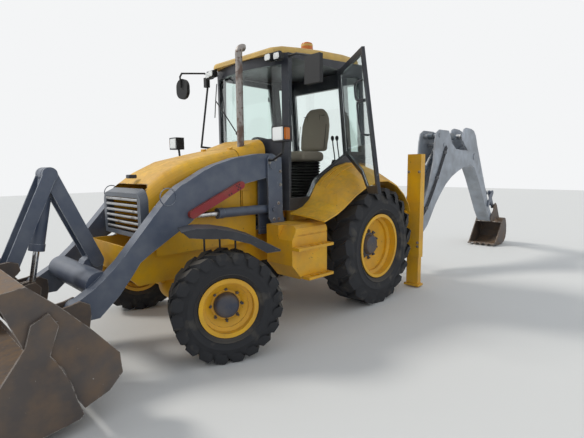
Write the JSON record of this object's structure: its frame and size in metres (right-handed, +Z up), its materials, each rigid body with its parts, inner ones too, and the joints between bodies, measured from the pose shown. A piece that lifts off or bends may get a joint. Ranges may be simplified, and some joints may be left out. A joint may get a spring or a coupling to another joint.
{
  "type": "backhoe loader",
  "caption": "Four-wheeled backhoe loader with a multi-purpose front bucket on two arms, a glazed cab, and a side-shifting backhoe with stabilisers at the rear.",
  "frame": {"origin": "on the ground under the middle of the whole outline", "axes": "+X towards the rear, where the backhoe is; -X is the way the machine drives; -Y is its left side; +Z up"},
  "size_m": [9.754, 2.8103, 3.1837],
  "materials": {
    "yellow_paint": "semi-gloss paint",
    "charcoal_paint": "worn semi-gloss paint",
    "black_paint": "satin paint",
    "hoe_paint": "worn paint",
    "roof_paint": "faded paint",
    "red_paint": "worn paint",
    "steel_blue": "worn paint",
    "bare_steel": "scratched",
    "rod_chrome": "polished",
    "tyre": "dusty rubber",
    "glass": "tinted",
    "fabric": "woven",
    "black_plastic": "moulded"
  },
  "bodies": {
    "machine": {"chassis": "yellow_paint", "loader_towers": "charcoal_paint", "engine": "charcoal_paint", "front_axle": "charcoal_paint", "rear_axle": "charcoal_paint", "bodywork": "yellow_paint", "exhaust": "bare_steel", "cab_frame": "black_paint", "roof": "roof_paint", "cab_glass": "glass", "seat": "fabric", "seat_base": "black_paint", "controls": "black_plastic", "lamps": "black_plastic", "mirrors": "black_plastic", "rear_fenders": "yellow_paint", "tanks": "yellow_paint", "rear_frame": "yellow_paint"},
    "hood": {"hood": "yellow_paint", "nose": "black_plastic"},
    "knuckle_left": {"knuckle_left": "charcoal_paint"},
    "front_wheel_left": {"tyre_front_left": "tyre", "rim_front_left": "yellow_paint"},
    "rear_wheel_left": {"tyre_rear_left": "tyre", "rim_rear_left": "yellow_paint"},
    "door_left": {"door_left": "black_paint", "door_left_glass": "glass"},
    "stabiliser_left": {"stabiliser_left": "charcoal_paint"},
    "knuckle_right": {"knuckle_right": "charcoal_paint"},
    "front_wheel_right": {"tyre_front_right": "tyre", "rim_front_right": "yellow_paint"},
    "rear_wheel_right": {"tyre_rear_right": "tyre", "rim_rear_right": "yellow_paint"},
    "door_right": {"door_right": "black_paint", "door_right_glass": "glass"},
    "stabiliser_right": {"stabiliser_right": "charcoal_paint"},
    "loader_arms": {"loader_arms": "charcoal_paint", "safety_strut": "red_paint"},
    "lift_tubes": {"lift_tubes": "steel_blue"},
    "lift_rods": {"lift_rods": "rod_chrome"},
    "bucket_lever": {"bucket_lever": "charcoal_paint"},
    "tilt_link": {"tilt_link": "charcoal_paint"},
    "tilt_tube": {"tilt_tube": "steel_blue"},
    "tilt_rod": {"tilt_rod": "rod_chrome"},
    "loader_bucket": {"loader_bucket": "charcoal_paint"},
    "bucket_jaw": {"bucket_jaw": "charcoal_paint"},
    "carriage": {"carriage": "charcoal_paint"},
    "kingpost": {"kingpost": "charcoal_paint"},
    "boom": {"boom": "hoe_paint"},
    "boom_tube": {"boom_tube": "steel_blue"},
    "boom_rod": {"boom_rod": "rod_chrome"},
    "dipper": {"dipper": "hoe_paint"},
    "dipper_tube": {"dipper_tube": "steel_blue"},
    "dipper_rod": {"dipper_rod": "rod_chrome"},
    "guide_lever": {"guide_lever": "charcoal_paint"},
    "bucket_link": {"bucket_link": "charcoal_paint"},
    "hoe_bucket": {"hoe_bucket": "charcoal_paint"},
    "hoe_tube": {"hoe_tube": "steel_blue"},
    "hoe_rod": {"hoe_rod": "rod_chrome"}
  },
  "joints": [
    {"name": "steer_left", "type": "hinge", "parent": "machine", "child": "knuckle_left", "pos_m": [-2.7575, -0.73908, 0.485], "axis": [0, 0, 1], "range_deg": [-14.5, 61.5]},
    {"name": "steer_right", "type": "hinge", "parent": "machine", "child": "knuckle_right", "pos_m": [-2.7575, 0.94092, 0.485], "axis": [0, 0, 1], "range_deg": [-14.5, 61.5]},
    {"name": "front_left_spin", "type": "hinge", "parent": "knuckle_left", "child": "front_wheel_left", "pos_m": [-2.7575, -0.73908, 0.485], "axis": [0.3987, 0.9171, 0], "continuous": true},
    {"name": "front_right_spin", "type": "hinge", "parent": "knuckle_right", "child": "front_wheel_right", "pos_m": [-2.7575, 0.94092, 0.485], "axis": [0.3987, 0.9171, 0], "continuous": true},
    {"name": "rear_left_spin", "type": "hinge", "parent": "machine", "child": "rear_wheel_left", "pos_m": [-0.5675, -0.81107, 0.715], "axis": [0, 1, 0], "continuous": true},
    {"name": "rear_right_spin", "type": "hinge", "parent": "machine", "child": "rear_wheel_right", "pos_m": [-0.5675, 1.01292, 0.715], "axis": [0, 1, 0], "continuous": true},
    {"name": "hood_lift", "type": "hinge", "parent": "machine", "child": "hood", "pos_m": [-2.1865, 0.10093, 1.892], "axis": [0, 1, 0], "range_deg": [0, 55]},
    {"name": "door_left", "type": "hinge", "parent": "machine", "child": "door_left", "pos_m": [-0.6425, -0.55708, 1.85], "axis": [-0.1279, 0, 0.9918], "range_deg": [-55, 45]},
    {"name": "door_right", "type": "hinge", "parent": "machine", "child": "door_right", "pos_m": [-0.6425, 0.75892, 1.85], "axis": [0.1279, 0, -0.9918], "range_deg": [0, 100]},
    {"name": "loader_lift", "type": "hinge", "parent": "machine", "child": "loader_arms", "pos_m": [-1.9125, 0.10093, 1.705], "axis": [0, 1, 0], "range_deg": [-2, 78]},
    {"name": "lift_tube_swing", "type": "hinge", "parent": "machine", "child": "lift_tubes", "pos_m": [-1.8955, 0.10093, 1.24], "axis": [0, 1, 0], "range_deg": [-2.16, 65.33]},
    {"name": "lift_rod_slide", "type": "slide", "parent": "lift_tubes", "child": "lift_rods", "axis": [-1, 0, 0.0029], "range_m": [-0.0154, 0.526]},
    {"name": "bucket_tilt", "type": "hinge", "parent": "loader_arms", "child": "loader_bucket", "pos_m": [-3.8975, 0.10093, 0.6], "axis": [0, 1, 0], "range_deg": [-60, 30]},
    {"name": "lever_swing", "type": "hinge", "parent": "loader_arms", "child": "bucket_lever", "pos_m": [-3.5575, 0.10093, 0.872], "axis": [0, 1, 0], "range_deg": [-39.42, 19.96]},
    {"name": "tilt_link_swing", "type": "hinge", "parent": "bucket_lever", "child": "tilt_link", "pos_m": [-3.8895, 0.10093, 1.64], "axis": [0, 1, 0], "range_deg": [-10.04, 19.59]},
    {"name": "tilt_tube_swing", "type": "hinge", "parent": "bucket_lever", "child": "tilt_tube", "pos_m": [-3.8895, 0.10093, 1.64], "axis": [0, 1, 0], "range_deg": [-7.26, 14.02]},
    {"name": "tilt_rod_slide", "type": "slide", "parent": "tilt_tube", "child": "tilt_rod", "axis": [-0.187, 0, -0.9824], "range_m": [-0.1481, 0.0751]},
    {"name": "jaw_open", "type": "hinge", "parent": "loader_bucket", "child": "bucket_jaw", "pos_m": [-4.2825, 0.10093, 0.767], "axis": [0, 1, 0], "range_deg": [0, 70]},
    {"name": "stabiliser_left", "type": "slide", "parent": "machine", "child": "stabiliser_left", "axis": [0, 0, 1], "range_m": [-0.15, 0.312]},
    {"name": "stabiliser_right", "type": "slide", "parent": "machine", "child": "stabiliser_right", "axis": [0, 0, 1], "range_m": [-0.15, 0.312]},
    {"name": "side_shift", "type": "slide", "parent": "machine", "child": "carriage", "axis": [0, 1, 0], "range_m": [-0.01, 1.11]},
    {"name": "hoe_swing", "type": "hinge", "parent": "carriage", "child": "kingpost", "pos_m": [0.8325, -0.44908, 0.8], "axis": [0, 0, 1], "range_deg": [-90, 90]},
    {"name": "boom_lift", "type": "hinge", "parent": "kingpost", "child": "boom", "pos_m": [1.0625, -0.44908, 0.6], "axis": [0, -1, 0], "range_deg": [-45, 50]},
    {"name": "boom_tube_swing", "type": "hinge", "parent": "kingpost", "child": "boom_tube", "pos_m": [0.8725, -0.44908, 0.95], "axis": [0, -1, 0], "range_deg": [-48.75, 54.12]},
    {"name": "boom_rod_slide", "type": "slide", "parent": "boom_tube", "child": "boom_rod", "axis": [0.7071, 0, 0.7071], "range_m": [-0.2786, 0.251]},
    {"name": "dipper_swing", "type": "hinge", "parent": "boom", "child": "dipper", "pos_m": [3.2625, -0.44908, 1.865], "axis": [0, -1, 0], "range_deg": [-70, 30]},
    {"name": "dipper_tube_swing", "type": "hinge", "parent": "boom", "child": "dipper_tube", "pos_m": [1.7825, -0.44908, 2.195], "axis": [0, -1, 0], "range_deg": [-4.09, 8.87]},
    {"name": "dipper_rod_slide", "type": "slide", "parent": "dipper_tube", "child": "dipper_rod", "axis": [0.9995, 0, 0.0318], "range_m": [-0.2057, 0.4774]},
    {"name": "bucket_curl", "type": "hinge", "parent": "dipper", "child": "hoe_bucket", "pos_m": [4.3325, -0.44908, 0.6], "axis": [0, -1, 0], "range_deg": [-70, 50]},
    {"name": "guide_swing", "type": "hinge", "parent": "dipper", "child": "guide_lever", "pos_m": [4.1225, -0.44908, 0.9], "axis": [0, -1, 0], "range_deg": [-70.5, 50.5]},
    {"name": "link_swing", "type": "hinge", "parent": "guide_lever", "child": "bucket_link", "pos_m": [4.31534, -0.44908, 1.12981], "axis": [0, -1, 0], "range_deg": [-50.5, 70.5]},
    {"name": "hoe_tube_swing", "type": "hinge", "parent": "dipper", "child": "hoe_tube", "pos_m": [3.2325, -0.44908, 2.27], "axis": [0, -1, 0], "range_deg": [-1.14, 0.96]},
    {"name": "hoe_rod_slide", "type": "slide", "parent": "hoe_tube", "child": "hoe_rod", "axis": [0.6886, 0, -0.7251], "range_m": [-0.2193, 0.3062]}
  ],
  "couplings": [
    {"joint": "steer_right", "follows": "steer_left", "ratio": 1},
    {"joint": "lift_tube_swing", "follows": "loader_lift", "ratio": 0.8311},
    {"joint": "lift_rod_slide", "follows": "loader_lift", "m_per_rad": 0.3849},
    {"joint": "lever_swing", "follows": "bucket_tilt", "ratio": 0.6487},
    {"joint": "tilt_link_swing", "follows": "bucket_tilt", "ratio": -0.3182},
    {"joint": "tilt_tube_swing", "follows": "bucket_tilt", "ratio": -0.2253},
    {"joint": "tilt_rod_slide", "follows": "bucket_tilt", "m_per_rad": 0.1395},
    {"joint": "boom_tube_swing", "follows": "boom_lift", "ratio": 1.0723},
    {"joint": "boom_rod_slide", "follows": "boom_lift", "m_per_rad": -0.317},
    {"joint": "dipper_tube_swing", "follows": "dipper_swing", "ratio": -0.1196},
    {"joint": "dipper_rod_slide", "follows": "dipper_swing", "m_per_rad": -0.3891},
    {"joint": "guide_swing", "follows": "bucket_curl", "ratio": 1},
    {"joint": "link_swing", "follows": "bucket_curl", "ratio": -1},
    {"joint": "hoe_tube_swing", "follows": "bucket_curl", "ratio": 0.0092},
    {"joint": "hoe_rod_slide", "follows": "bucket_curl", "m_per_rad": -0.249}
  ]
}
